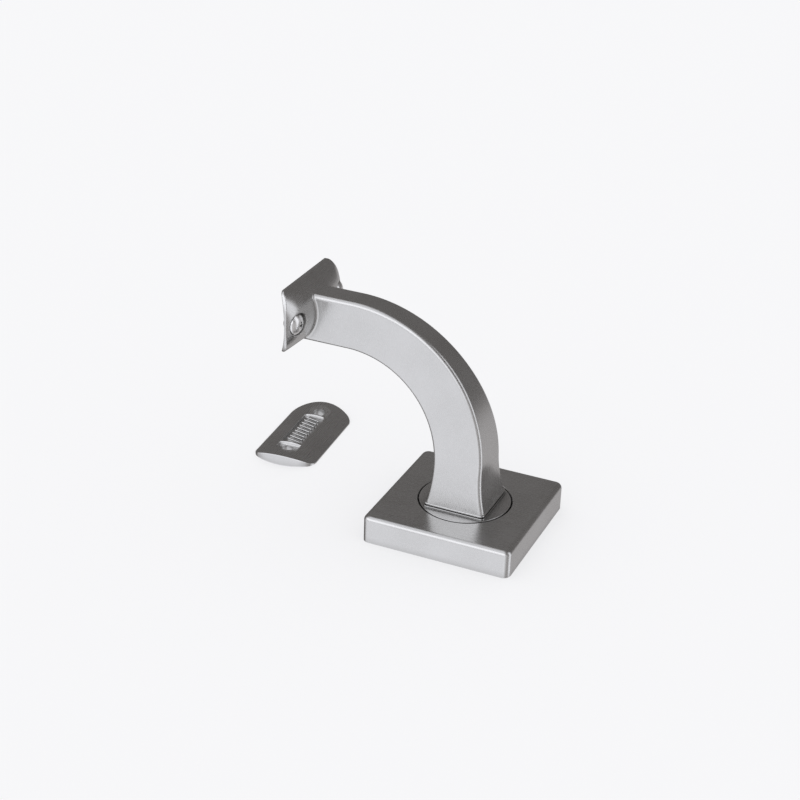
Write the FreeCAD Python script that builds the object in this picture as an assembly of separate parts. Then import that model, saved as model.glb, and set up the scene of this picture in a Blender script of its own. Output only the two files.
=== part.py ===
import FreeCAD, Part
import math
import os

# Handrail bracket with a square rose, in millimetres.
# The rose stands on the plane z = 0, which is the wall. +Z points out of the wall.
# The origin is the centre of the mounting plate, and the arm reaches out towards -X.
# The round rail lies in the saddle, parallel to Y.

V = FreeCAD.Vector
X_AXIS = V(1, 0, 0)
Y_AXIS = V(0, 1, 0)
Z_AXIS = V(0, 0, 1)
WALL = V(0, 0, 0)

# Rose
ROSE_SIDE = 60.0
ROSE_HEIGHT = 11.0
ROSE_WALL = 2.0
ROSE_TOP = 2.4
ROSE_CORNER = 3.0
ROSE_EDGE = 2.0
ROSE_HOLE_R = 18.35
ROSE_RIM = 0.25
DISC_R = 17.85
DISC_RIM = 0.12

# Mounting plate and its wall screw holes
PLATE_SIDE = 54.0
PLATE_THICK = 3.0
PLATE_CORNER = 4.0
WALL_HOLE_PITCH = 40.0
WALL_HOLE_R = 2.4
WALL_HEAD_R = 4.6

# Leaf springs that hold the rose, each riveted to the mounting plate
CLIP_OFFSET = 23.6
CLIP_THICK = 0.5
CLIP_HALF_WIDTH = 5.0
CLIP_TOP = 8.0
CLIP_CREST_Z = 5.6
CLIP_RIVET_R = 1.25
CLIP_RIVET_HEAD_R = 2.1
CLIP_RIVET_HEAD = 0.8
CLIP_POINTS = [V(-CLIP_OFFSET, 0, 0), V(CLIP_OFFSET, 0, 0)]

# Swivel: hub, thrust washer and disc, stacked along Z
HUB_R = 17.0
HUB_TOP = 7.4
SPIGOT_R = 10.0
CAVITY_R = 8.6
CAVITY_TOP = 5.4
THRUST_WASHER_R = 16.4
THRUST_WASHER_PLAY = 0.5
DISC_BOTTOM = 8.0
RUNNING = 0.06

# Screws from behind the plate into the hub
HUB_SCREW_CIRCLE_R = 13.4
HUB_SCREW_R = 1.5
HUB_SCREW_HEAD_R = 3.0
HUB_SCREW_LENGTH = 6.0

# Pivot stud and the stack on its lower end
STUD_R = 4.0
STUD_LOW = 0.4
STUD_TOP = 29.0
STUD_SOCKET = 4.0
STUD_SOCKET_DEPTH = 3.0
NUT_SIZE = 13.0
NUT_LOW = 0.3
NUT_TOP = 3.9
SPRING_R = 8.0
SPRING_THICK = 0.5
SPRING_TOP = 4.8
FLAT_WASHER_R = 8.2
WASHER_PLAY = 0.15

# Screws and dowels between the disc and the arm
DISC_SCREW_POINTS = [V(0, -8.4, 0), V(0, 8.4, 0)]
DISC_SCREW_R = 2.0
DISC_SCREW_HEAD_R = 3.8
DISC_SCREW_HEAD = 1.8
DISC_SCREW_LENGTH = 13.0
FOOT_DOWEL_POINTS = [V(-8.4, 0, 0), V(8.4, 0, 0)]
FOOT_DOWEL_R = 1.5
FOOT_DOWEL_LOW = 9.0
FOOT_DOWEL_TOP = 17.0

# Arm, side view: a quarter arc between two circles, flared at the foot
OUTER_CENTRE = V(-47.5, 0, 29.0)
OUTER_R = 57.0
INNER_CENTRE = V(-48.9, 0, 27.8)
INNER_R = 38.8
OUTER_FLARE = 2.4
INNER_FLARE = 1.8
HEAD_X = -68.0

# Arm, front view: straight taper from the foot, then an arc into the upright head
HEAD_HALF_WIDTH = 5.9
FOOT_HALF_WIDTH = 11.85
TAPER_END_Z = 60.2
HEAD_TOP_Z = 84.0
ARM_EDGE = 1.8
HEAD_FILLET = 1.0

# Square flange under the arm, with a shadow gap between it and the disc's pad
PLINTH_TOP = 12.6
PLINTH_LOW = 12.0
PLINTH_HALF = 12.3
PLINTH_CORNER = 1.6
PLINTH_EDGE = 0.3
SHADOW_GAP = 0.8
DISC_PAD_TOP = 11.5
DISC_PAD_HALF = 12.6
DISC_PAD_EDGE = 0.25

# Saddle: hollow face to the rail, domed back to the arm
RAIL_R = 24.15
SADDLE_Z = 78.5
SADDLE_HALF_HEIGHT = 12.5
SADDLE_HALF_LENGTH = 22.8
SADDLE_BULGE = 4.2
SADDLE_CORNER = 3.0
SADDLE_EDGE = 0.4
SADDLE_HOLLOW_X = -66.5
SADDLE_BACK_X = -61.35
SADDLE_EDGE_X = -68.75
SADDLE_DOME_R = 100.0
SADDLE_ROLL_Y = 15.5
SADDLE_ROLL_R = 14.2
SADDLE_EDGE_DOME_R = 400.0

# Rail screws, one each side of the arm
RAIL_SCREW_PITCH = 34.0
RAIL_SCREW_R = 2.5
RAIL_SCREW_Z = 78.3
RAIL_SEAT_X = -65.0
RAIL_SEAT_R = 4.4
RAIL_NECK_R = 2.1
RAIL_NECK_X = -67.0
RAIL_TIP_X = -68.8
RAIL_HEAD_R = 4.2
RAIL_HEAD_BAND = 0.9
RAIL_HEAD_DOME = 2.0

# Screw and dowels between the saddle and the arm's head
HEAD_AXIS_Z = 76.5
HEAD_DOWEL_STEP = 6.4
HEAD_DOWEL_R = 1.25
HEAD_DOWEL_X = -66.0
HEAD_DOWEL_LENGTH = 9.0
SADDLE_SCREW_X = -66.3
SADDLE_SCREW_R = 2.5
SADDLE_SCREW_HEAD_R = 4.6
SADDLE_SCREW_HEAD = 2.1
SADDLE_SCREW_LENGTH = 18.0

# Loose adapter for a flat rail, lying beside the rose
ADAPTER_CENTRE = V(-87.1, 33.5, 0)
ADAPTER_TURN = 4.0
ADAPTER_HALF_WIDTH = 13.4
ADAPTER_HALF_LENGTH = 25.6
ADAPTER_BULGE = 4.7
ADAPTER_CORNER = 5.5
ADAPTER_RADIUS = 24.0
ADAPTER_EDGE = 0.4
ADAPTER_HOLE_R = 2.6
POCKET_HALF_WIDTH = 4.2
POCKET_HALF_LENGTH = 12.2
POCKET_CORNER = 0.8
POCKET_DEPTH = 1.5
POCKET_LEAN = 0.4
RUNOUT_HALF_WIDTH = 4.7
RUNOUT_START = 13.9
RUNOUT_END = 22.0
RUNOUT_DEPTH = 1.3
RIB_COUNT = 9
RIB_PITCH = 2.5
RIB_HEIGHT = 1.1
RIB_TURN = 74.0
RIB_HALF_WIDTH = 0.5
RIB_HALF_LENGTH = 3.3


def cylinder(radius, base, axis, length):
    return Part.makeCylinder(radius, length, base, axis)


def cone(radius_start, radius_end, base, axis, length):
    return Part.makeCone(radius_start, radius_end, length, base, axis)


def ring(outer, inner, z_low, z_high):
    height = z_high - z_low
    blank = cylinder(outer, V(0, 0, z_low), Z_AXIS, height)
    return blank.cut(cylinder(inner, V(0, 0, z_low), Z_AXIS, height))


def around(points, shape):
    """One copy of the shape at each point."""
    return [shape.translated(point) for point in points]


def grid(pitch_x, pitch_y):
    """The four corners of a rectangle about the origin."""
    return [V(sx * pitch_x / 2, sy * pitch_y / 2, 0) for sx in (-1, 1) for sy in (-1, 1)]


def circle_points(radius, count, first_angle):
    angles = [math.radians(first_angle + 360.0 * i / count) for i in range(count)]
    return [V(radius * math.cos(a), radius * math.sin(a), 0) for a in angles]


def corner_arc(centre, u, v, radius, angle):
    """A quarter arc in the plane of u and v, starting at the angle in degrees."""
    points = []
    for step in (0, 45, 90):
        a = math.radians(angle + step)
        points.append(centre + u * (radius * math.cos(a)) + v * (radius * math.sin(a)))
    return Part.Arc(*points).toShape()


def rounded_rectangle(centre, u, v, half_u, half_v, radius):
    """Closed wire of a rounded rectangle with its sides along u and v."""
    arcs = []
    for angle, su, sv in ((0, 1, 1), (90, -1, 1), (180, -1, -1), (270, 1, -1)):
        middle = centre + u * (su * (half_u - radius)) + v * (sv * (half_v - radius))
        arcs.append(corner_arc(middle, u, v, radius, angle))
    edges = []
    for i, arc in enumerate(arcs):
        following = arcs[(i + 1) % 4]
        edges.append(arc)
        edges.append(Part.makeLine(arc.Vertexes[-1].Point, following.Vertexes[0].Point))
    return Part.Wire(edges)


def block(half_x, half_y, corner, z_low, z_high):
    wire = rounded_rectangle(V(0, 0, z_low), X_AXIS, Y_AXIS, half_x, half_y, corner)
    return Part.Face(wire).extrude(V(0, 0, z_high - z_low))


def edges_at_height(shape, z):
    """The edges of a shape that lie wholly at one height."""
    return [e for e in shape.Edges
            if abs(e.BoundBox.ZMin - z) < 1e-4 and abs(e.BoundBox.ZMax - z) < 1e-4]


def pad_outline(place, half_length, half_width, bulge, corner):
    """Outline shared by the saddle and the adapter: straight sides, bowed ends, round corners.

    place turns a position along the length and one across the width into a point.
    """
    end_r = (half_width ** 2 + bulge ** 2) / (2 * bulge)
    end_c = half_length - end_r
    corner_v = half_width - corner
    corner_u = end_c + math.sqrt((end_r - corner) ** 2 - corner_v ** 2)
    meet = math.atan2(corner_v, corner_u - end_c)
    middle = (meet + math.pi / 2) / 2
    on_end = (end_c + end_r * math.cos(meet), end_r * math.sin(meet))
    on_corner = (corner_u + corner * math.cos(middle), corner_v + corner * math.sin(middle))

    def arc(first, second, third):
        return Part.Arc(place(*first), place(*second), place(*third)).toShape()

    edges = []
    for s in (1, -1):
        side_end = (s * corner_u, s * half_width)
        near = (s * on_corner[0], s * on_corner[1])
        far = (s * on_corner[0], -s * on_corner[1])
        tip_a = (s * on_end[0], s * on_end[1])
        tip_b = (s * on_end[0], -s * on_end[1])
        other_side = (s * corner_u, -s * half_width)
        edges.append(arc(side_end, near, tip_a))
        edges.append(arc(tip_a, (s * half_length, 0), tip_b))
        edges.append(arc(tip_b, far, other_side))
        edges.append(Part.makeLine(place(*other_side), place(-s * corner_u, -s * half_width)))
    return Part.Wire(edges)


def hexagon(across_flats, z_low, z_high):
    corner_r = across_flats / math.sqrt(3)
    corners = [p + V(0, 0, z_low) for p in circle_points(corner_r, 6, 0)]
    return Part.Face(Part.makePolygon(corners + corners[:1])).extrude(V(0, 0, z_high - z_low))


def countersunk_screw(base, axis, head_r, shank_r, head_depth, length, drive):
    """Flat countersunk screw: base is the middle of its head's face, axis points to the tip."""
    head = cone(head_r, shank_r, base, axis, head_depth)
    tip = 0.6
    shank = cylinder(shank_r, base, axis, length - tip)
    end = cone(shank_r, shank_r - tip, base + axis * (length - tip), axis, tip)
    screw = head.fuse([shank, end]).removeSplitter()
    return screw.cut(cross_recess(base, axis, drive, head_depth * 0.75))


def cross_recess(base, axis, span, depth):
    """Tool for a cross-shaped drive recess that narrows towards its floor."""
    side = Y_AXIS if abs(axis.dot(Y_AXIS)) < 0.9 else X_AXIS
    wide = span / 4
    wings = []
    for direction in (side, axis.cross(side)):
        across = axis.cross(direction)
        mouth = rounded_rectangle(base - axis * 0.5, direction, across, span / 2, wide / 2, 0.12)
        floor_wire = rounded_rectangle(base + axis * depth, direction, across,
                                       span * 0.28, wide * 0.3, 0.08)
        wings.append(Part.makeLoft([mouth, floor_wire], True, True))
    return wings[0].fuse(wings[1])


# Rose and wall plate

def rose_cover():
    """Square cast shell with a round hole that the swivel disc fills."""
    half = ROSE_SIDE / 2
    shell = block(half, half, ROSE_CORNER, 0, ROSE_HEIGHT)
    shell = shell.makeFillet(ROSE_EDGE, edges_at_height(shell, ROSE_HEIGHT))
    inner = half - ROSE_WALL
    hollow = block(inner, inner, ROSE_CORNER - 1.0, 0, ROSE_HEIGHT - ROSE_TOP)
    hollow = hollow.makeFillet(1.0, edges_at_height(hollow, ROSE_HEIGHT - ROSE_TOP))
    shell = shell.cut(hollow)
    shell = shell.cut(cylinder(ROSE_HOLE_R, WALL, Z_AXIS, ROSE_HEIGHT))
    return shell.cut(cone(ROSE_HOLE_R, ROSE_HOLE_R + ROSE_RIM, V(0, 0, ROSE_HEIGHT - ROSE_RIM),
                          Z_AXIS, ROSE_RIM))


def mounting_plate():
    """Steel plate behind the rose, with a countersunk wall screw hole near each corner."""
    half = PLATE_SIDE / 2
    plate = block(half, half, PLATE_CORNER, 0, PLATE_THICK)
    head_depth = WALL_HEAD_R - WALL_HOLE_R
    hole = cylinder(WALL_HOLE_R, WALL, Z_AXIS, PLATE_THICK)
    sink = cone(WALL_HOLE_R, WALL_HEAD_R, V(0, 0, PLATE_THICK - head_depth), Z_AXIS, head_depth)
    tools = around(grid(WALL_HOLE_PITCH, WALL_HOLE_PITCH), hole.fuse(sink))
    tools.append(cylinder(SPIGOT_R, WALL, Z_AXIS, PLATE_THICK))
    tools += around(hub_screw_points(), hub_screw_blank())
    tools += around(CLIP_POINTS, clip_rivet_blank())
    return plate.cut(tools)


def hub_screw_points():
    return circle_points(HUB_SCREW_CIRCLE_R, 3, 90)


def hub_screw_blank():
    """Outer shape of one screw that holds the hub to the plate."""
    head = cone(HUB_SCREW_HEAD_R, HUB_SCREW_R, WALL, Z_AXIS, HUB_SCREW_HEAD_R - HUB_SCREW_R)
    return head.fuse(cylinder(HUB_SCREW_R, WALL, Z_AXIS, HUB_SCREW_LENGTH))


def hub_screws():
    recess = cross_recess(WALL, Z_AXIS, 3.2, 1.0)
    return Part.makeCompound(around(hub_screw_points(), hub_screw_blank().cut(recess)))


def swivel_hub():
    """Turned hub that carries the arm, with a pocket behind it for the lock nut."""
    hub = cylinder(HUB_R, V(0, 0, PLATE_THICK), Z_AXIS, HUB_TOP - PLATE_THICK)
    hub = hub.makeChamfer(0.4, edges_at_height(hub, HUB_TOP))
    hub = hub.fuse(cylinder(SPIGOT_R, WALL, Z_AXIS, PLATE_THICK)).removeSplitter()
    tools = [cylinder(CAVITY_R, WALL, Z_AXIS, CAVITY_TOP),
             cylinder(STUD_R + RUNNING, WALL, Z_AXIS, HUB_TOP)]
    tools += around(hub_screw_points(), hub_screw_blank())
    return hub.cut(tools)


def clip_rivet_blank():
    """The part of one rivet that fills its hole: a shank, and a sunk head behind the plate."""
    top = PLATE_THICK + CLIP_THICK
    shank = cylinder(CLIP_RIVET_R, WALL, Z_AXIS, top)
    sunk = cone(CLIP_RIVET_HEAD_R, CLIP_RIVET_R, WALL, Z_AXIS, CLIP_RIVET_HEAD_R - CLIP_RIVET_R)
    return shank.fuse(sunk)


def clip_rivets():
    seat = PLATE_THICK + CLIP_THICK
    head = cylinder(CLIP_RIVET_HEAD_R, V(0, 0, seat), Z_AXIS, CLIP_RIVET_HEAD)
    head = head.makeFillet(0.3, edges_at_height(head, seat + CLIP_RIVET_HEAD))
    rivet = clip_rivet_blank().fuse(head).removeSplitter()
    return Part.makeCompound(around(CLIP_POINTS, rivet))


def cover_clips():
    """Two leaf springs that stand just inside the rose's walls and hold it on."""
    foot_low = PLATE_THICK
    foot_top = PLATE_THICK + CLIP_THICK
    crest = ROSE_SIDE / 2 - ROSE_WALL - 0.15
    inside = CLIP_OFFSET - 2.8
    bend = crest - 1.55
    lip = crest - 0.75
    points = [V(inside, 0, foot_low), V(bend, 0, foot_low), V(crest, 0, CLIP_CREST_Z),
              V(lip, 0, CLIP_TOP), V(lip - CLIP_THICK, 0, CLIP_TOP),
              V(crest - CLIP_THICK - 0.05, 0, CLIP_CREST_Z),
              V(bend - 0.3, 0, foot_top), V(inside, 0, foot_top)]
    face = Part.Face(Part.makePolygon(points + points[:1]))
    clip = face.extrude(V(0, 2 * CLIP_HALF_WIDTH, 0)).translated(V(0, -CLIP_HALF_WIDTH, 0))
    clip = clip.cut(cylinder(CLIP_RIVET_R, V(CLIP_OFFSET, 0, 0), Z_AXIS, CLIP_TOP))
    other = clip.mirror(WALL, X_AXIS)
    return Part.makeCompound([clip, other])


def thrust_washer():
    return ring(THRUST_WASHER_R, STUD_R + THRUST_WASHER_PLAY, HUB_TOP, DISC_BOTTOM)


# Swivel disc and the pieces that turn with the arm

def disc_screw_hole():
    """Hole for one screw from under the disc up into the arm."""
    base = V(0, 0, DISC_BOTTOM)
    sink = cone(DISC_SCREW_HEAD_R, DISC_SCREW_R, base, Z_AXIS, DISC_SCREW_HEAD)
    return sink.fuse(cylinder(DISC_SCREW_R, base, Z_AXIS, DISC_SCREW_LENGTH))


def disc_screws():
    screw = countersunk_screw(V(0, 0, DISC_BOTTOM), Z_AXIS, DISC_SCREW_HEAD_R, DISC_SCREW_R,
                              DISC_SCREW_HEAD, DISC_SCREW_LENGTH, 4.0)
    return Part.makeCompound(around(DISC_SCREW_POINTS, screw))


def foot_dowel():
    pin = cylinder(FOOT_DOWEL_R, V(0, 0, FOOT_DOWEL_LOW), Z_AXIS, FOOT_DOWEL_TOP - FOOT_DOWEL_LOW)
    ends = edges_at_height(pin, FOOT_DOWEL_LOW) + edges_at_height(pin, FOOT_DOWEL_TOP)
    return pin.makeChamfer(0.3, ends)


def foot_dowels():
    return Part.makeCompound(around(FOOT_DOWEL_POINTS, foot_dowel()))


def swivel_disc():
    """Round disc flush with the top of the rose, with a low square pad that carries the arm's foot."""
    disc = cylinder(DISC_R, V(0, 0, DISC_BOTTOM), Z_AXIS, ROSE_HEIGHT - DISC_BOTTOM)
    disc = disc.makeChamfer(DISC_RIM, edges_at_height(disc, ROSE_HEIGHT))
    pad = block(DISC_PAD_HALF, DISC_PAD_HALF, PLINTH_CORNER, DISC_BOTTOM, DISC_PAD_TOP)
    disc = disc.fuse(pad.makeFillet(DISC_PAD_EDGE, edges_at_height(pad, DISC_PAD_TOP))).removeSplitter()
    dowel_hole = cylinder(FOOT_DOWEL_R, V(0, 0, FOOT_DOWEL_LOW), Z_AXIS, ROSE_HEIGHT)
    tools = [cylinder(STUD_R, WALL, Z_AXIS, PLINTH_LOW)]
    tools += around(DISC_SCREW_POINTS, disc_screw_hole())
    tools += around(FOOT_DOWEL_POINTS, dowel_hole)
    return disc.cut(tools)


def pivot_stud():
    """Stud that hangs from the arm through the hub, with a hexagon socket in its lower end."""
    stud = cylinder(STUD_R, V(0, 0, STUD_LOW), Z_AXIS, STUD_TOP - STUD_LOW)
    stud = stud.makeChamfer(0.6, edges_at_height(stud, STUD_LOW) + edges_at_height(stud, STUD_TOP))
    return stud.cut(hexagon(STUD_SOCKET, STUD_LOW, STUD_LOW + STUD_SOCKET_DEPTH))


def lock_nut():
    """Hexagon nut whose corners are bevelled on the wall side."""
    height = NUT_TOP - NUT_LOW
    start_r = NUT_SIZE / 2 + 0.1
    bevel = cone(start_r, start_r + height, V(0, 0, NUT_LOW), Z_AXIS, height)
    nut = hexagon(NUT_SIZE, NUT_LOW, NUT_TOP).common(bevel)
    return nut.cut(cylinder(STUD_R, WALL, Z_AXIS, NUT_TOP))


def disc_spring():
    """Coned washer between the nut and the flat washer."""
    inner = STUD_R + WASHER_PLAY
    corners = [V(inner, 0, NUT_TOP), V(SPRING_R, 0, SPRING_TOP - SPRING_THICK),
               V(SPRING_R, 0, SPRING_TOP), V(inner, 0, NUT_TOP + SPRING_THICK)]
    face = Part.Face(Part.makePolygon(corners + corners[:1]))
    return face.revolve(WALL, Z_AXIS, 360)


def flat_washer():
    return ring(FLAT_WASHER_R, STUD_R + WASHER_PLAY, SPRING_TOP, CAVITY_TOP)


# Arm

def tangent_arc(start, end, direction):
    """Arc from start to end that leaves start along a direction, all in one plane."""
    chord = end - start
    across = chord - direction * chord.dot(direction)
    radius = chord.dot(chord) / (2 * across.Length)
    across.normalize()
    centre = start + across * radius
    middle = (start + end) * 0.5 - centre
    middle.normalize()
    return Part.Arc(start, centre + middle * radius, end).toShape()


def quarter_arc(centre, radius):
    """Quarter arc in the plane y = 0, from level with its centre to above it."""
    diagonal = radius / math.sqrt(2)
    return Part.Arc(centre + X_AXIS * radius, centre + V(diagonal, 0, diagonal),
                    centre + Z_AXIS * radius).toShape()


def side_profile():
    """Side view of the arm, from the plinth to past the back of the saddle."""
    outer_start = OUTER_CENTRE + X_AXIS * OUTER_R
    inner_start = INNER_CENTRE + X_AXIS * INNER_R
    outer_foot = V(outer_start.x + OUTER_FLARE, 0, PLINTH_TOP)
    inner_foot = V(inner_start.x - INNER_FLARE, 0, PLINTH_TOP)
    outer_top = OUTER_CENTRE + Z_AXIS * OUTER_R
    inner_top = INNER_CENTRE + Z_AXIS * INNER_R
    head_top = V(HEAD_X, 0, outer_top.z)
    head_under = V(HEAD_X, 0, inner_top.z)
    edges = [tangent_arc(outer_start, outer_foot, Z_AXIS * -1), quarter_arc(OUTER_CENTRE, OUTER_R),
             Part.makeLine(outer_top, head_top), Part.makeLine(head_top, head_under),
             Part.makeLine(head_under, inner_top), quarter_arc(INNER_CENTRE, INNER_R),
             tangent_arc(inner_start, inner_foot, Z_AXIS * -1), Part.makeLine(inner_foot, outer_foot)]
    return Part.Face(Part.Wire(Part.__sortEdges__(edges)))


def front_profile(x):
    """Front view of the arm: both sides taper alike, and end upright at the head."""
    over = 4.0
    edges = []
    for side in (-1, 1):
        foot = V(x, side * FOOT_HALF_WIDTH, PLINTH_TOP)
        head = V(x, side * HEAD_HALF_WIDTH, HEAD_TOP_Z)
        taper_end = V(x, side * taper_end_width(), TAPER_END_Z)
        edges.append(Part.makeLine(foot, taper_end))
        edges.append(tangent_arc(head, taper_end, Z_AXIS * -1))
        edges.append(Part.makeLine(head, head + Z_AXIS * over))
    top = HEAD_TOP_Z + over
    edges.append(Part.makeLine(V(x, -HEAD_HALF_WIDTH, top), V(x, HEAD_HALF_WIDTH, top)))
    edges.append(Part.makeLine(V(x, -FOOT_HALF_WIDTH, PLINTH_TOP), V(x, FOOT_HALF_WIDTH, PLINTH_TOP)))
    return Part.Face(Part.Wire(Part.__sortEdges__(edges)))


def taper_end_width():
    """Half width where the straight taper runs into the arc without a corner."""
    rise = TAPER_END_Z - PLINTH_TOP
    arc_rise = HEAD_TOP_Z - TAPER_END_Z
    share = arc_rise / (arc_rise + 2 * rise)
    return HEAD_HALF_WIDTH + (FOOT_HALF_WIDTH - HEAD_HALF_WIDTH) * share


def faces_facing(shape, axis):
    """Faces whose middle looks along an axis, either way."""
    found = []
    for face in shape.Faces:
        u_low, u_high, v_low, v_high = face.ParameterRange
        normal = face.normalAt((u_low + u_high) / 2, (v_low + v_high) / 2)
        if abs(normal.dot(axis)) > 0.9:
            found.append(face)
    return found


def border_edges(faces):
    """The edges that belong to only one of the faces."""
    edges = [e for face in faces for e in face.Edges]
    return [e for e in edges if sum(e.isSame(other) for other in edges) == 1]


def long_edges(body):
    """The four long edges of the arm: they bound its two sides and lie on neither end."""
    once = border_edges(faces_facing(body, Y_AXIS))
    ends = edges_at_height(body, PLINTH_TOP)
    ends += [e for e in body.Edges if e.BoundBox.XMax < HEAD_X + 1e-4]
    return [e for e in once if not any(e.isSame(end) for end in ends)]


def curved_body():
    side = side_profile().extrude(V(0, 40, 0)).translated(V(0, -20, 0))
    front = front_profile(-80).extrude(V(110, 0, 0))
    body = side.common(front)
    return body.makeFillet(ARM_EDGE, long_edges(body))


def filleted_head(body):
    """The body trimmed to the saddle's back, with a hollow fillet along the seam's top and sides."""
    rail_side = saddle_block()
    joined = body.fuse(rail_side)
    margin = 1.0
    seam = []
    for edge in joined.Edges:
        box = edge.BoundBox
        beside = max(box.YMax, -box.YMin) < HEAD_HALF_WIDTH + margin
        behind = box.XMax < SADDLE_BACK_X + margin
        above = box.ZMin > INNER_CENTRE.z + INNER_R + margin
        if beside and behind and above:
            seam.append(edge)
    return joined.makeFillet(HEAD_FILLET, seam).cut(rail_side)


def plinth():
    """Low square flange at the arm's foot, and below it a narrower step that leaves a shadow gap."""
    flange = block(PLINTH_HALF, PLINTH_HALF, PLINTH_CORNER, PLINTH_LOW, PLINTH_TOP)
    flange = flange.makeFillet(PLINTH_EDGE, edges_at_height(flange, PLINTH_TOP))
    half = PLINTH_HALF - SHADOW_GAP
    return flange.fuse(block(half, half, PLINTH_CORNER - SHADOW_GAP, DISC_PAD_TOP, PLINTH_LOW))


def arm():
    """Curved casting from the rose to the saddle, with the holes for its fixings."""
    body = filleted_head(curved_body()).fuse(plinth()).removeSplitter()
    tools = [cylinder(STUD_R, WALL, Z_AXIS, STUD_TOP)]
    tools += around(DISC_SCREW_POINTS, disc_screw_hole())
    tools += around(FOOT_DOWEL_POINTS, cylinder(FOOT_DOWEL_R, WALL, Z_AXIS, FOOT_DOWEL_TOP))
    tools.append(saddle_screw_hole())
    tools += [head_dowel(z) for z in head_dowel_heights()]
    return body.cut(tools)


# Saddle

def saddle_crown(y):
    """X of the crown of the saddle's back at y: a gentle dome that rolls over at each end."""
    inner_y = min(abs(y), SADDLE_ROLL_Y)
    x = SADDLE_BACK_X - inner_y ** 2 / (2 * SADDLE_DOME_R)
    if abs(y) > SADDLE_ROLL_Y:
        start = SADDLE_ROLL_Y / SADDLE_DOME_R
        turn = start + (abs(y) - SADDLE_ROLL_Y) / SADDLE_ROLL_R
        x -= SADDLE_ROLL_R * (math.sqrt(1 - start ** 2) - math.sqrt(1 - turn ** 2))
    return x


def saddle_back_end(y, half_height):
    """X at a half height of the arc that falls from the crown at y to the saddle's thin edge."""
    drop = saddle_crown(y) - SADDLE_EDGE_X + y * y / (2 * SADDLE_EDGE_DOME_R)
    radius = (SADDLE_HALF_HEIGHT ** 2 + drop ** 2) / (2 * drop)
    return saddle_crown(y) - radius + math.sqrt(radius ** 2 - half_height ** 2)


def saddle_block():
    """Block with the saddle's domed back and plain other sides, larger than the saddle all round.

    Its sections lie closer together where the back rolls over.
    """
    over = SADDLE_HALF_HEIGHT + 0.8
    deep_x = SADDLE_HOLLOW_X - 20.0
    half_stations = (5.0, 10.0, 14.0, 16.5, 19.0, 21.5, SADDLE_HALF_LENGTH + 0.8)
    stations = [-y for y in reversed(half_stations)] + [0.0] + list(half_stations)
    wires = []
    for y in stations:
        end_x = saddle_back_end(y, over)
        low = V(end_x, y, SADDLE_Z - over)
        high = V(end_x, y, SADDLE_Z + over)
        back = Part.Arc(low, V(saddle_crown(y), y, SADDLE_Z), high).toShape()
        deep_high = V(deep_x, y, SADDLE_Z + over)
        deep_low = V(deep_x, y, SADDLE_Z - over)
        wires.append(Part.Wire([back, Part.makeLine(high, deep_high),
                                Part.makeLine(deep_high, deep_low), Part.makeLine(deep_low, low)]))
    return Part.makeLoft(wires, True, False)


def saddle_blank():
    """Saddle before drilling: trimmed to its outline, hollowed by the rail, eased round its back."""
    start_x = SADDLE_HOLLOW_X - 8.0
    wire = pad_outline(lambda u, v: V(start_x, u, SADDLE_Z + v), SADDLE_HALF_LENGTH,
                       SADDLE_HALF_HEIGHT, SADDLE_BULGE, SADDLE_CORNER)
    prism = Part.Face(wire).extrude(V(20.0, 0, 0))
    rail = cylinder(RAIL_R, V(SADDLE_HOLLOW_X - RAIL_R, -40, SADDLE_Z), Y_AXIS, 80)
    blank = saddle_block().common(prism).cut(rail)
    back = [face for face in blank.Faces if face.BoundBox.XMax > SADDLE_BACK_X - 0.5]
    return blank.makeFillet(SADDLE_EDGE, border_edges(back))


def rail_screw_places():
    return [V(0, side * RAIL_SCREW_PITCH / 2, RAIL_SCREW_Z) for side in (-1, 1)]


def head_dowel_heights():
    return (HEAD_AXIS_Z - HEAD_DOWEL_STEP, HEAD_AXIS_Z + HEAD_DOWEL_STEP)


def head_dowel(z):
    return cylinder(HEAD_DOWEL_R, V(HEAD_DOWEL_X, 0, z), X_AXIS, HEAD_DOWEL_LENGTH)


def head_dowels():
    return Part.makeCompound([head_dowel(z) for z in head_dowel_heights()])


def saddle_screw_hole():
    """Room for the countersunk screw that pulls the saddle onto the arm."""
    base = V(SADDLE_SCREW_X, 0, HEAD_AXIS_Z)
    mouth = cylinder(SADDLE_SCREW_HEAD_R, base - X_AXIS * 4, X_AXIS, 4.0)
    sink = cone(SADDLE_SCREW_HEAD_R, SADDLE_SCREW_R, base, X_AXIS, SADDLE_SCREW_HEAD)
    return mouth.fuse([sink, cylinder(SADDLE_SCREW_R, base, X_AXIS, SADDLE_SCREW_LENGTH)])


def saddle_screw():
    return countersunk_screw(V(SADDLE_SCREW_X, 0, HEAD_AXIS_Z), X_AXIS, SADDLE_SCREW_HEAD_R,
                             SADDLE_SCREW_R, SADDLE_SCREW_HEAD, SADDLE_SCREW_LENGTH, 5.0)


def saddle():
    tools = [saddle_screw_hole()]
    tools += [head_dowel(z) for z in head_dowel_heights()]
    seat = cylinder(RAIL_SEAT_R, V(RAIL_SEAT_X, 0, 0), X_AXIS, 10.0)
    hole = cylinder(RAIL_SCREW_R, V(-75.0, 0, 0), X_AXIS, 15.0)
    tools += around(rail_screw_places(), seat.fuse(hole))
    return saddle_blank().cut(tools)


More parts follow.
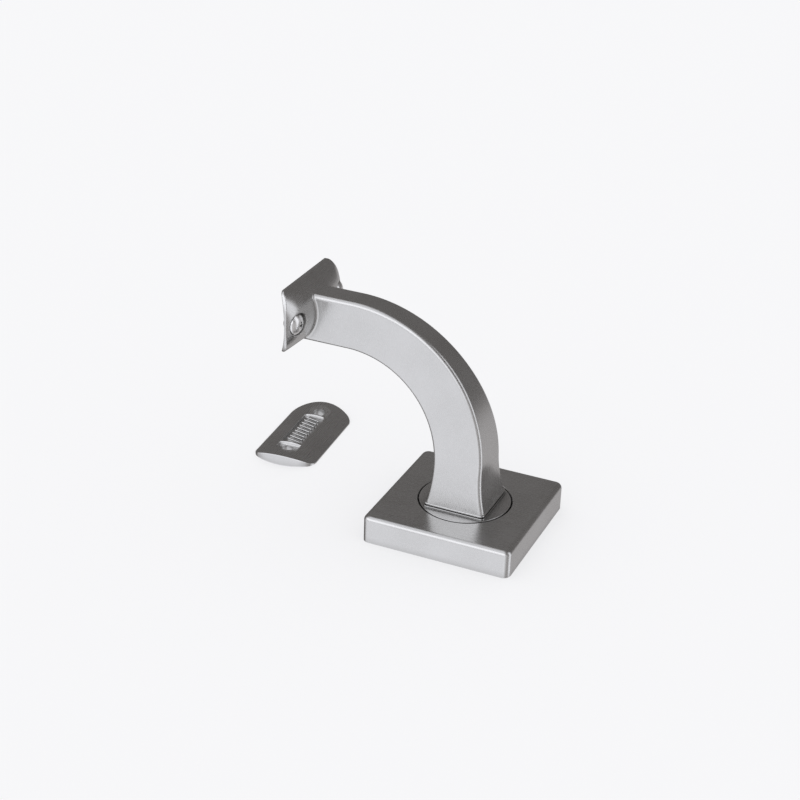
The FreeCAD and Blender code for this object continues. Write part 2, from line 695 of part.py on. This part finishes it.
def rail_screws():
    """Two short captive screws: a raised head with a cross recess, a slim neck and a threaded end."""
    height = RAIL_HEAD_BAND + RAIL_HEAD_DOME
    sphere_r = (RAIL_HEAD_R ** 2 + RAIL_HEAD_DOME ** 2) / (2 * RAIL_HEAD_DOME)
    face_x = RAIL_SEAT_X + height
    ball = Part.makeSphere(sphere_r, V(face_x - sphere_r, 0, 0))
    head = cylinder(RAIL_HEAD_R, V(RAIL_SEAT_X, 0, 0), X_AXIS, height).common(ball)
    tip = 0.5
    neck = cylinder(RAIL_NECK_R, V(RAIL_NECK_X, 0, 0), X_AXIS, RAIL_SEAT_X - RAIL_NECK_X)
    shank = cylinder(RAIL_SCREW_R, V(RAIL_TIP_X + tip, 0, 0), X_AXIS, RAIL_NECK_X - RAIL_TIP_X - tip)
    end = cone(RAIL_SCREW_R - tip, RAIL_SCREW_R, V(RAIL_TIP_X, 0, 0), X_AXIS, tip)
    screw = head.fuse([neck, shank, end]).removeSplitter()
    screw = screw.cut(cross_recess(V(face_x, 0, 0), X_AXIS * -1, 3.4, 1.1))
    return Part.makeCompound(around(rail_screw_places(), screw))


# Loose adapter

def adapter_ribs(floor_z):
    """Plain slanted ribs, rounded on top, that stiffen the floor of the adapter's pocket."""
    ribs = []
    for i in range(RIB_COUNT):
        top_z = floor_z + RIB_HEIGHT
        rib = block(RIB_HALF_WIDTH, RIB_HALF_LENGTH, 0.3, floor_z - 0.3, top_z)
        rib = rib.makeFillet(0.35, edges_at_height(rib, top_z))
        rib.rotate(WALL, Z_AXIS, RIB_TURN)
        ribs.append(rib.translated(V(0, (i - (RIB_COUNT - 1) / 2) * RIB_PITCH, 0)))
    return ribs


def adapter_pocket(floor_z):
    """Tool for the pocket, whose walls lean outwards by POCKET_LEAN for each millimetre they rise."""
    wires = []
    for rise in (0, 2 * POCKET_DEPTH):
        lean = rise * POCKET_LEAN
        wires.append(rounded_rectangle(V(0, 0, floor_z + rise), X_AXIS, Y_AXIS, POCKET_HALF_WIDTH + lean,
                                       POCKET_HALF_LENGTH + lean, POCKET_CORNER + lean))
    return Part.makeLoft(wires, True, True)


def adapter_runout(crown_z):
    """Wedge that sinks the surface round a screw hole, deepest at its wall, which leans to the pocket."""
    over = 1.0
    deep = V(0, RUNOUT_START, crown_z - RUNOUT_DEPTH)
    shallow = V(0, RUNOUT_END, crown_z)
    top = V(0, RUNOUT_START - (RUNOUT_DEPTH + over) * POCKET_LEAN, crown_z + over)
    side = Part.Face(Part.makePolygon([deep, shallow, V(0, RUNOUT_END, top.z), top, deep]))
    return side.translated(V(-RUNOUT_HALF_WIDTH, 0, 0)).extrude(V(2 * RUNOUT_HALF_WIDTH, 0, 0))


def flat_rail_adapter():
    """Pad that fills the saddle's hollow, so that a rail with a flat face can sit on it."""
    wire = pad_outline(lambda u, v: V(v, u, 0), ADAPTER_HALF_LENGTH,
                       ADAPTER_HALF_WIDTH, ADAPTER_BULGE, ADAPTER_CORNER)
    prism = Part.Face(wire).extrude(V(0, 0, 10))
    sag = ADAPTER_RADIUS - math.sqrt(ADAPTER_RADIUS ** 2 - ADAPTER_HALF_WIDTH ** 2)
    crown_z = ADAPTER_EDGE + sag
    round_top = cylinder(ADAPTER_RADIUS, V(0, -40, crown_z - ADAPTER_RADIUS), Y_AXIS, 80)
    pad = prism.common(round_top)
    floor_z = crown_z - POCKET_DEPTH
    tools = [adapter_pocket(floor_z)]
    runout = adapter_runout(crown_z)
    for turn, side in ((0, 1), (180, -1)):
        tools.append(runout.rotated(WALL, Z_AXIS, turn))
        tools.append(cylinder(ADAPTER_HOLE_R, V(0, side * RAIL_SCREW_PITCH / 2, -1), Z_AXIS, 12))
    pad = pad.cut(tools).fuse(adapter_ribs(floor_z)).removeSplitter()
    pad.rotate(WALL, Z_AXIS, ADAPTER_TURN)
    return pad.translated(ADAPTER_CENTRE)


NODES = {
    "rose_cover": rose_cover,
    "mounting_plate": mounting_plate,
    "swivel_hub": swivel_hub,
    "hub_screws": hub_screws,
    "cover_clips": cover_clips,
    "clip_rivets": clip_rivets,
    "thrust_washer": thrust_washer,
    "swivel_disc": swivel_disc,
    "disc_screws": disc_screws,
    "foot_dowels": foot_dowels,
    "pivot_stud": pivot_stud,
    "lock_nut": lock_nut,
    "disc_spring": disc_spring,
    "flat_washer": flat_washer,
    "arm": arm,
    "saddle": saddle,
    "saddle_screw": saddle_screw,
    "head_dowels": head_dowels,
    "rail_screws": rail_screws,
    "flat_rail_adapter": flat_rail_adapter,
}


def main():
    os.makedirs("parts", exist_ok=True)
    for name, make in NODES.items():
        shape = make()
        shape.exportStep("parts/" + name + ".step")
        print(name, len(shape.Solids), shape.isValid(), round(shape.Volume, 1))


main()
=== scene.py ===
"""Looks of a wall handrail bracket: square rose, swivelling curved arm, rail saddle and a loose flat adapter.

Every piece is a CAD node. This script gives each one its metal or plastic, and sets the camera, floor and
light.
Lengths are metres and angles degrees.
"""
import math

import bpy
from mathutils import Matrix, Vector


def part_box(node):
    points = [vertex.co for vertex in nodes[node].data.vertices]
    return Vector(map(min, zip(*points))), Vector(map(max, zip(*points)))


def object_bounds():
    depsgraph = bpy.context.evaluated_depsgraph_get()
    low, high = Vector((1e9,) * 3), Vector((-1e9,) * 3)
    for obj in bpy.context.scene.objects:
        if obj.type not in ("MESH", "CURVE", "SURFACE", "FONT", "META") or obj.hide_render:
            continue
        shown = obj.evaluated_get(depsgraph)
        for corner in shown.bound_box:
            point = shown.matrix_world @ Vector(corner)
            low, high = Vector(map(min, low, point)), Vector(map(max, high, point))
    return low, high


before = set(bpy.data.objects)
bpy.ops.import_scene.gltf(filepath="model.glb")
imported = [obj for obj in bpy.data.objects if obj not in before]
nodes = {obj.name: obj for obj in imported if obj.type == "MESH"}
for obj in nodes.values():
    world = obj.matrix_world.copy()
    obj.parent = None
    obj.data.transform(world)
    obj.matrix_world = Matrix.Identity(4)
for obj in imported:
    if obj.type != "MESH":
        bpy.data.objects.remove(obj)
cad_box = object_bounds()

# Camera: where it stands round the bracket and how it is framed.
CAMERA_AZIMUTH = 22.464
CAMERA_ELEVATION = 28.532
CAMERA_ROLL = 2.293
CAMERA_DISTANCE = 0.6663
CAMERA_TARGET = Vector((-0.018, 0.0, 0.033))
CAMERA_LENS_MM = 78.05
CAMERA_SHIFT = (-0.0305, 0.0481)

# Studio: the white that the floor and the backdrop share, and what the metal mirrors.
# Each card is a soft-edged patch of light on the studio's dome. Its middle azimuth is counted from +Y
# towards +X, then come its half width and soft side, its lowest and highest elevation and soft ends,
# and its brightness. Between the cards the studio is as bright as DARK_SIDE. Dim light is tinted WARM_DARK
# and full light COOL_LIGHT.
STUDIO_WHITE = 0.966
STUDIO_TINT = (0.985, 0.985, 1.0)
FLOOR_COLOUR = (0.34, 0.34, 0.34)
FLOOR_GLOW = 0.62
FLOOR_SIZE = 12.0
DARK_SIDE = 0.15
WARM_DARK = (1.0, 0.945, 0.925)
COOL_LIGHT = (0.952, 0.958, 1.0)
CARDS = (
    (25, 30, 20, -90, -10, 9, 0.37),
    (-157, 32, 45, -90, -6, 22, 0.98),
    (-157, 32, 45, 18, 45, 16, 1.52),
    (76, 10, 12, -38, 44, 14, 1.10),
    (132, 14, 26, -90, 12, 20, 0.36),
    (-130, 70, 60, 62, 90, 12, 0.85),
    (0, 180, 0, -90, -78, 16, 0.25),
)

# Materials: where noise, edges and the painted shade of corners begin and end. Noise runs about a middle of
# 0.5. Likeness is the cosine between a face's normal and the rounded one, and openness is how little of the
# sky is hidden.
NOISE_LOW, NOISE_HIGH = 0.3, 0.7
FLAT_LIKENESS, EDGE_LIKENESS = 0.995, 0.90
DEEP_OPENNESS, FREE_OPENNESS = 0.45, 0.95


def link_object(name, data):
    made = bpy.data.objects.new(name, data)
    bpy.context.scene.collection.objects.link(made)
    return made


def sky_direction(azimuth, elevation):
    """Unit vector at that azimuth, from +Y towards +X, and elevation."""
    turn, rise = math.radians(azimuth), math.radians(elevation)
    return Vector((math.sin(turn) * math.cos(rise), math.cos(turn) * math.cos(rise), math.sin(rise)))


def make_camera():
    """A long-lens camera in front of the bracket, a little to its right and above it."""
    back = sky_direction(180 - CAMERA_AZIMUTH, CAMERA_ELEVATION)
    level_right = Vector((0, 0, 1)).cross(back).normalized()
    level_up = back.cross(level_right)
    roll = math.radians(CAMERA_ROLL)
    right = math.cos(roll) * level_right + math.sin(roll) * level_up
    up = math.cos(roll) * level_up - math.sin(roll) * level_right
    data = bpy.data.cameras.new("camera")
    data.lens = CAMERA_LENS_MM
    data.shift_x, data.shift_y = CAMERA_SHIFT
    data.clip_start = 0.01
    camera = link_object("camera", data)
    axes = Matrix((right, up, back)).transposed().to_4x4()
    camera.matrix_world = Matrix.Translation(CAMERA_TARGET + back * CAMERA_DISTANCE) @ axes
    bpy.context.scene.camera = camera


class Nodes:
    """Short calls that add shader nodes to one tree. A value is a number, colour, vector or node's output."""

    def __init__(self, tree):
        self.tree = tree
        tree.nodes.clear()

    def add(self, kind, values=(), output=0, **settings):
        """A node with its settings, and its inputs by name or place; returns one of its outputs."""
        made = self.tree.nodes.new(kind)
        for name, value in settings.items():
            setattr(made, name, value)
        pairs = values.items() if isinstance(values, dict) else enumerate(values)
        for key, value in pairs:
            if isinstance(value, bpy.types.NodeSocket):
                self.tree.links.new(value, made.inputs[key])
            elif value is not None:
                made.inputs[key].default_value = value
        return made.outputs[output] if made.outputs else made

    def math(self, operation, *values):
        return self.add("ShaderNodeMath", values, operation=operation)

    def vector(self, operation, *values, output=0):
        return self.add("ShaderNodeVectorMath", values, output, operation=operation)

    def span(self, value, low, high, to_low, to_high, smooth=False):
        """value's stretch from low to high laid onto to_low to to_high."""
        kind = "SMOOTHSTEP" if smooth else "LINEAR"
        return self.add("ShaderNodeMapRange", (value, low, high, to_low, to_high), interpolation_type=kind)

    def spread(self, noise, low, high):
        """A noise's usual stretch laid onto low to high."""
        return self.span(noise, NOISE_LOW, NOISE_HIGH, low, high)

    def scaled(self, share, amount):
        return self.math("MULTIPLY", share, amount)

    def raised(self, base, share, amount):
        """base, and amount more where share is 1."""
        return self.math("ADD", base, self.scaled(share, amount))

    def average(self, first, second, second_part):
        return self.math("ADD", self.scaled(first, 1 - second_part), self.scaled(second, second_part))

    def blend(self, share, first, second):
        """first where share is 0 and second where it is 1."""
        made = self.tree.nodes.new("ShaderNodeMix")
        made.data_type = "RGBA"
        for name, value in (("Factor_Float", share), ("A_Color", first), ("B_Color", second)):
            socket = next(s for s in made.inputs if s.identifier == name)
            if isinstance(value, bpy.types.NodeSocket):
                self.tree.links.new(value, socket)
            else:
                socket.default_value = (*value, 1)
        return next(s for s in made.outputs if s.identifier == "Result_Color")

    def noise(self, place, scale, detail=2.0, roughness=0.5):
        """Noise at place, mostly from NOISE_LOW to NOISE_HIGH; scale is in features per metre."""
        values = {"Vector": place, "Scale": scale, "Detail": detail, "Roughness": roughness}
        return self.add("ShaderNodeTexNoise", values)


def card_share(make, level, rise, card):
    """1 inside one card and 0 outside; level is the direction's unit level part, and rise its height."""
    azimuth, half_width, soft_side, lowest, highest, soft_end = card
    share = 1.0
    if highest < 90:
        full, gone = (math.sin(math.radians(a)) for a in (highest, highest + soft_end))
        share = make.span(rise, full, gone, 1, 0, smooth=True)
    if lowest > -90:
        gone, full = (math.sin(math.radians(a)) for a in (lowest - soft_end, lowest))
        share = make.scaled(share, make.span(rise, gone, full, 0, 1, smooth=True))
    if half_width < 180:
        likeness = make.vector("DOT_PRODUCT", level, sky_direction(azimuth, 0), output="Value")
        gone, full = (math.cos(math.radians(a)) for a in (half_width + soft_side, half_width))
        share = make.scaled(share, make.span(likeness, gone, full, 0, 1, smooth=True))
    return share


def make_world():
    """A white room for the floor, and for mirrored light a dark studio with soft cards round the bracket."""
    world = bpy.data.worlds.new("studio")
    bpy.context.scene.world = world
    world.use_nodes = True
    make = Nodes(world.node_tree)
    direction = make.vector("NORMALIZE", make.add("ShaderNodeTexCoord", output="Generated"))
    rise = make.add("ShaderNodeSeparateXYZ", (direction,), output="Z")
    level = make.vector("NORMALIZE", make.vector("MULTIPLY", direction, Vector((1, 1, 0))))
    light = DARK_SIDE
    for *card, brightness in CARDS:
        light = make.raised(light, card_share(make, level, rise, card), brightness)
    tint = make.blend(make.span(light, DARK_SIDE, 1, 0, 1), WARM_DARK, COOL_LIGHT)
    mirrored = make.add("ShaderNodeBackground", {"Color": tint, "Strength": light})
    plain = make.add("ShaderNodeBackground", {"Color": (*STUDIO_TINT, 1), "Strength": STUDIO_WHITE})
    glossy_ray = make.add("ShaderNodeLightPath", output="Is Glossy Ray")
    seen = make.add("ShaderNodeMixShader", (glossy_ray, plain, mirrored))
    make.add("ShaderNodeOutputWorld", {"Surface": seen})


def make_floor():
    """A plain white light table under the rose and the adapter, lit from below so that shadows stay faint.

    The metal mirrors the studio in its place.
    """
    mesh = bpy.data.meshes.new("floor")
    half = FLOOR_SIZE / 2
    corners = [(x * half, y * half, 0) for x, y in ((-1, -1), (1, -1), (1, 1), (-1, 1))]
    mesh.from_pydata(corners, [], [(0, 1, 2, 3)])
    floor = link_object("floor", mesh)
    floor.location.z = cad_box[0].z
    floor.visible_glossy = False
    material = bpy.data.materials.new("light_table")
    material.use_nodes = True
    shader = material.node_tree.nodes["Principled BSDF"]
    shader.inputs["Base Color"].default_value = (*FLOOR_COLOUR, 1)
    shader.inputs["Roughness"].default_value = 1.0
    shader.inputs["Specular IOR Level"].default_value = 0.0
    shader.inputs["Emission Color"].default_value = (*STUDIO_TINT, 1)
    shader.inputs["Emission Strength"].default_value = FLOOR_GLOW
    mesh.materials.append(material)


def material_nodes(name):
    """An empty material, the maker of its nodes and the place that its textures are laid on."""
    material = bpy.data.materials.new(name)
    material.use_nodes = True
    make = Nodes(material.node_tree)
    return material, make, make.add("ShaderNodeTexCoord", output="Object")


def surface(make, colour, roughness, height, depth, soft_edge=0.0, **sockets):
    """The shader of one solid surface; height, from 0 to 1, stands up by depth metres.

    Edges are shaded as if rounded by soft_edge metres.
    """
    relief = {"Strength": 1.0, "Distance": depth, "Height": height}
    if soft_edge:
        relief["Normal"] = make.add("ShaderNodeBevel", {"Radius": soft_edge}, samples=6)
    bump = make.add("ShaderNodeBump", relief)
    values = {"Base Color": colour, "Roughness": roughness, "Normal": bump}
    values.update({name.replace("_", " ").title(): value for name, value in sockets.items()})
    shader = make.add("ShaderNodeBsdfPrincipled", values)
    make.add("ShaderNodeOutputMaterial", {"Surface": shader})


def edge_share(make, radius):
    """1 on edges sharper than radius and 0 on open faces, where handling polishes the finish."""
    rounded = make.add("ShaderNodeBevel", {"Radius": radius}, samples=4)
    flat = make.add("ShaderNodeNewGeometry", output="Normal")
    likeness = make.vector("DOT_PRODUCT", rounded, flat, output="Value")
    return make.span(likeness, FLAT_LIKENESS, EDGE_LIKENESS, 0, 1)


def painted_shade_share(make, reach):
    """1 deep in corners and seams and 0 in the open; there the colour is darkened as painted shade and the
    finish is rougher.
    """
    openness = make.add("ShaderNodeAmbientOcclusion", {"Distance": reach}, output="AO", samples=4)
    return make.span(openness, DEEP_OPENNESS, FREE_OPENNESS, 1, 0)


def stretched(make, place, axis, along, across):
    """place scaled so that noise becomes streaks along axis, with that many features per metre each way."""
    scale = Vector((across, across, across))
    scale["XYZ".index(axis)] = along
    return make.vector("MULTIPLY", place, scale)


def satin_nickel(name, axis, edge_gain=0.5, soft_edge=0.0):
    """Satin nickel plate on a zinc casting: bead-blasted grain, faint brushing along axis, bright worn edges
    and painted shade darkening its corners and seams.

    edge_gain is how far the edges are polished, and soft_edge is the radius that the edges are shaded with.
    """
    dark, light, speck = (0.560, 0.558, 0.552), (0.605, 0.604, 0.600), (0.66, 0.66, 0.655)
    worn, painted_shade_colour = (0.86, 0.86, 0.86), (0.28, 0.275, 0.265)
    worn_width, shade_reach, grain_depth = 0.0007, 0.003, 0.000003
    material, make, place = material_nodes(name)
    grain = make.noise(place, 2400, detail=3, roughness=0.6)
    streaks = make.noise(stretched(make, place, axis, 130, 3200), 1.0, detail=2)
    clouds = make.noise(place, 55, detail=3)
    specks = make.noise(place, 900, detail=1)
    edges = edge_share(make, worn_width)
    corners = painted_shade_share(make, shade_reach)

    plate = make.blend(make.spread(clouds, 0, 1), dark, light)
    plate = make.blend(make.span(specks, 0.42, 0.62, 0, 0.15), plate, speck)
    plate = make.blend(make.scaled(edges, edge_gain), plate, worn)
    # painted shade: the plate darkens towards a dark grey deep in corners and seams
    plate = make.blend(make.scaled(corners, 0.4), plate, painted_shade_colour)

    roughness = make.math("ADD", make.spread(streaks, 0.25, 0.31), make.spread(clouds, -0.02, 0.02))
    roughness = make.raised(roughness, edges, -0.16 * edge_gain)
    roughness = make.raised(roughness, corners, 0.10)
    surface(make, plate, roughness, make.average(grain, streaks, 0.3), grain_depth, soft_edge, metallic=1.0)
    return material


def radius_round(make, place, centre, axis):
    """Distance of place from the line through centre along axis."""
    offset = make.vector("SUBTRACT", place, centre)
    flatten = Vector((1, 1, 1))
    flatten["XYZ".index(axis)] = 0
    return make.vector("LENGTH", make.vector("MULTIPLY", offset, flatten), output="Value")


def rings_round(make, radius, scale, detail):
    """Noise that changes only with radius, like a lathe tool's marks."""
    return make.noise(make.add("ShaderNodeCombineXYZ", (radius, 0.0, 0.0)), scale, detail=detail)


def turned_nickel(name, centre):
    """Satin nickel on a disc that was faced on a lathe: fine rings round its centre, and strong painted shade
    darkening it next to the parts that stand on it.
    """
    dark, light, painted_shade_colour = (0.550, 0.548, 0.542), (0.605, 0.604, 0.600), (0.17, 0.167, 0.162)
    shade_reach, ring_depth = 0.004, 0.000009
    material, make, place = material_nodes(name)
    rings = rings_round(make, radius_round(make, place, centre, "Z"), 5200, detail=2)
    grain = make.noise(place, 2400, detail=3)
    clouds = make.noise(place, 70, detail=2)
    corners = painted_shade_share(make, shade_reach)
    plate = make.blend(make.spread(clouds, 0, 1), dark, light)
    # painted shade: the disc darkens nearly to black deep in corners and seams, such as next to the arm's
    # foot
    plate = make.blend(make.scaled(corners, 0.85), plate, painted_shade_colour)
    roughness = make.spread(rings, 0.22, 0.34)
    surface(make, plate, roughness, make.average(rings, grain, 0.4), ring_depth, metallic=1.0)
    return material


def zinc_plate(name):
    """Bright zinc on steel, with the blue and straw stains of its passivation, rolled-in scratches and
    painted shade in its corners and seams.
    """
    blue, straw = (0.585, 0.610, 0.660), (0.680, 0.650, 0.560)
    bright, painted_shade_colour = (0.78, 0.79, 0.80), (0.30, 0.29, 0.27)
    shade_reach, scratch_depth = 0.0015, 0.000009
    material, make, place = material_nodes(name)
    stain = make.noise(place, 130, detail=3)
    crystals = make.add("ShaderNodeTexVoronoi", {"Vector": place, "Scale": 1400.0}, output="Color")
    flake = make.add("ShaderNodeSeparateColor", (crystals,), output=0)
    grain = make.noise(place, 3600, detail=2)
    scratches = make.noise(stretched(make, place, "X", 120, 5200), 1.0, detail=1)
    corners = painted_shade_share(make, shade_reach)
    plate = make.blend(make.span(stain, 0.32, 0.68, 0, 1), blue, straw)
    plate = make.blend(make.scaled(flake, 0.22), plate, bright)
    # painted shade: the plate darkens towards a dark grey deep in corners and seams
    plate = make.blend(make.scaled(corners, 0.4), plate, painted_shade_colour)
    roughness = make.raised(make.spread(scratches, 0.24, 0.36), flake, 0.08)
    surface(make, plate, roughness, make.average(grain, scratches, 0.5), scratch_depth, metallic=1.0)
    return material


def spring_steel(name):
    """Tempered strip: dark blue-brown steel with rolling lines."""
    blue, brown, worn = (0.175, 0.190, 0.225), (0.285, 0.255, 0.215), (0.52, 0.51, 0.49)
    worn_width, line_depth = 0.0002, 0.000008
    material, make, place = material_nodes(name)
    lines = make.noise(stretched(make, place, "Y", 160, 5600), 1.0, detail=2)
    temper = make.noise(place, 190, detail=2)
    edges = edge_share(make, worn_width)
    strip = make.blend(make.spread(temper, 0, 1), blue, brown)
    strip = make.blend(make.scaled(edges, 0.6), strip, worn)
    surface(make, strip, make.spread(lines, 0.24, 0.40), lines, line_depth, metallic=1.0)
    return material


def nylon(name):
    """Natural nylon: milky, with moulding flow and a fine matt grain."""
    deep, pale = (0.800, 0.785, 0.725), (0.880, 0.870, 0.820)
    grain_depth, milkiness = 0.000010, 0.2
    material, make, place = material_nodes(name)
    flow = make.noise(place, 160, detail=3)
    grain = make.noise(place, 3000, detail=2)
    colour = make.blend(make.spread(flow, 0, 1), deep, pale)
    surface(make, colour, make.spread(grain, 0.38, 0.52), grain, grain_depth, subsurface_weight=milkiness)
    return material


def bright_screw(name, centre):
    """Bright plated steel, turned about the screw's axis, which lies along X, with painted shade in its
    recess and seams; centre is in the +Y screw.
    """
    dark, light, painted_shade_colour = (0.800, 0.798, 0.795), (0.880, 0.878, 0.875), (0.16, 0.155, 0.15)
    shade_reach, ring_depth = 0.0012, 0.000006
    material, make, place = material_nodes(name)
    both_screws = make.vector("ABSOLUTE", place)
    radius = radius_round(make, both_screws, Vector((0, centre.y, centre.z)), "X")
    rings = rings_round(make, radius, 6500, detail=1)
    haze = make.noise(place, 420, detail=2)
    corners = painted_shade_share(make, shade_reach)
    plate = make.blend(make.spread(haze, 0, 1), dark, light)
    # painted shade: the screw darkens nearly to black deep in its recess and seams
    plate = make.blend(make.scaled(corners, 0.7), plate, painted_shade_colour)
    roughness = make.raised(make.spread(rings, 0.22, 0.30), haze, 0.06)
    surface(make, plate, roughness, rings, ring_depth, metallic=1.0)
    return material


def dress(material, *names):
    """Gives CAD nodes their material."""
    for name in names:
        slots = nodes[name].data.materials
        slots.clear()
        slots.append(material)


def middle(name):
    low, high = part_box(name)
    return (low + high) / 2


def rail_screw_centre():
    """Middle of the rail screw on the +Y side."""
    low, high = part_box("rail_screws")
    head_radius = (high.z - low.z) / 2
    return Vector(((low.x + high.x) / 2, high.y - head_radius, (low.z + high.z) / 2))


make_camera()
make_world()
make_floor()
dress(satin_nickel("satin_nickel_rose", "X", edge_gain=0.2), "rose_cover")
dress(satin_nickel("satin_nickel_arm", "Z", edge_gain=0.3), "arm")
dress(satin_nickel("satin_nickel_saddle", "Y", soft_edge=0.0006), "saddle")
dress(satin_nickel("satin_nickel_adapter", "Y", edge_gain=1.0), "flat_rail_adapter")
dress(turned_nickel("satin_nickel_disc", middle("swivel_disc")), "swivel_disc")
dress(zinc_plate("zinc_plated_steel"), "mounting_plate", "swivel_hub", "hub_screws", "clip_rivets",
      "disc_screws", "foot_dowels", "pivot_stud", "lock_nut", "flat_washer", "saddle_screw", "head_dowels")
dress(spring_steel("spring_steel"), "cover_clips", "disc_spring")
dress(nylon("nylon"), "thrust_washer")
dress(bright_screw("bright_screw", rail_screw_centre()), "rail_screws")
bpy.context.scene.view_settings.view_transform = "Standard"
